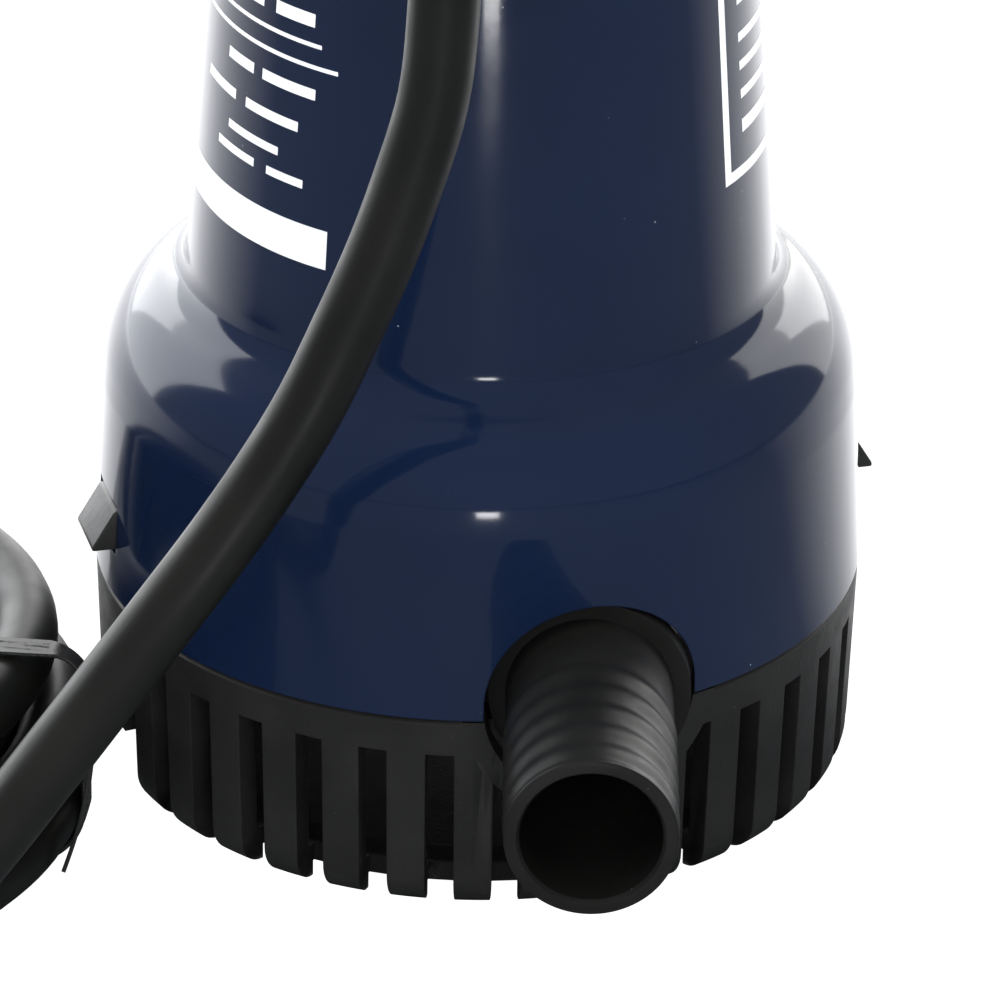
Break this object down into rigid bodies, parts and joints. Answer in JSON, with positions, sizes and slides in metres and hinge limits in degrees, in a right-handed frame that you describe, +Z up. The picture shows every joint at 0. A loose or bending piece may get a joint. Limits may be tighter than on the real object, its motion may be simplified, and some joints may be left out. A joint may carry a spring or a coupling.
{
  "type": "submersible bilge pump",
  "caption": "Submersible bilge pump with a round motor housing, side hose outlet, clip-on slotted strainer base and a coiled two-core cable.",
  "frame": {"origin": "centre of the strainer base's underside, on the surface it stands on", "axes": "+Z up along the motor shaft; the hose outlet points to -Y; +X completes a right-handed frame"},
  "size_m": [0.1959, 0.1486, 0.1935],
  "materials": {
    "housing_blue": "glossy moulded navy",
    "base_black": "fine-grained matte",
    "nozzle_black": "satin",
    "gland_black": "satin",
    "cable_black": "satin PVC",
    "rubber_black": "matte",
    "lead_red": "satin PVC",
    "impeller_white": "natural acetal",
    "stainless": "turned",
    "motor_steel": "zinc plated",
    "laminations": "stacked, varnished",
    "copper": "enamelled",
    "bronze": "sintered",
    "carbon": "pressed graphite",
    "ferrite": "ground ferrite"
  },
  "bodies": {
    "base": {"strainer_base": "base_black", "cord_coil": "cable_black", "cord_tie": "gland_black", "lead_positive": "lead_red", "lead_negative": "cable_black"},
    "latch_left": {"latch_left": "base_black"},
    "latch_right": {"latch_right": "base_black"},
    "pump": {"outer_housing": "housing_blue", "volute_casing": "nozzle_black", "suction_cover": "base_black", "cover_screw_1": "stainless", "cover_screw_2": "stainless", "cover_screw_3": "stainless", "volute_screw_1": "stainless", "volute_screw_2": "stainless", "volute_screw_3": "stainless", "bulkhead": "base_black", "housing_o_ring": "rubber_black", "lip_seal_lower": "rubber_black", "lip_seal_upper": "rubber_black", "motor_can": "motor_steel", "end_bell": "motor_steel", "magnet_a": "ferrite", "magnet_b": "ferrite", "bearing_lower": "bronze", "bearing_upper": "bronze", "brush_card": "impeller_white", "brush_a": "carbon", "brush_b": "carbon", "brush_spring_a": "stainless", "brush_spring_b": "stainless", "gland_body": "gland_black", "gland_cap": "gland_black", "gland_lock_nut": "gland_black", "strain_relief": "rubber_black", "inner_lead_positive": "lead_red", "inner_lead_negative": "cable_black", "cord_span": "cable_black"},
    "rotor": {"motor_shaft": "stainless", "armature_core": "laminations", "armature_windings": "copper", "commutator": "copper", "shaft_slinger": "rubber_black", "impeller": "impeller_white", "impeller_nut": "stainless"}
  },
  "joints": [
    {"name": "pump_lift", "type": "slide", "parent": "base", "child": "pump", "axis": [0, 0, 1], "range_m": [0, 0.045], "deforming": ["latch_left", "latch_right"]},
    {"name": "latch_left_press", "type": "hinge", "parent": "base", "child": "latch_left", "pos_m": [-0.04086, -0.01095, 0.0095], "axis": [-0.2588, 0.9659, 0], "range_deg": [0, 14], "stiffness_Nm_per_rad": 0.6},
    {"name": "latch_right_press", "type": "hinge", "parent": "base", "child": "latch_right", "pos_m": [0.04086, 0.01095, 0.0095], "axis": [0.2588, -0.9659, 0], "range_deg": [0, 14], "stiffness_Nm_per_rad": 0.6},
    {"name": "rotor_spin", "type": "hinge", "parent": "pump", "child": "rotor", "pos_m": [0, 0, 0.06], "axis": [0, 0, 1], "continuous": true}
  ]
}
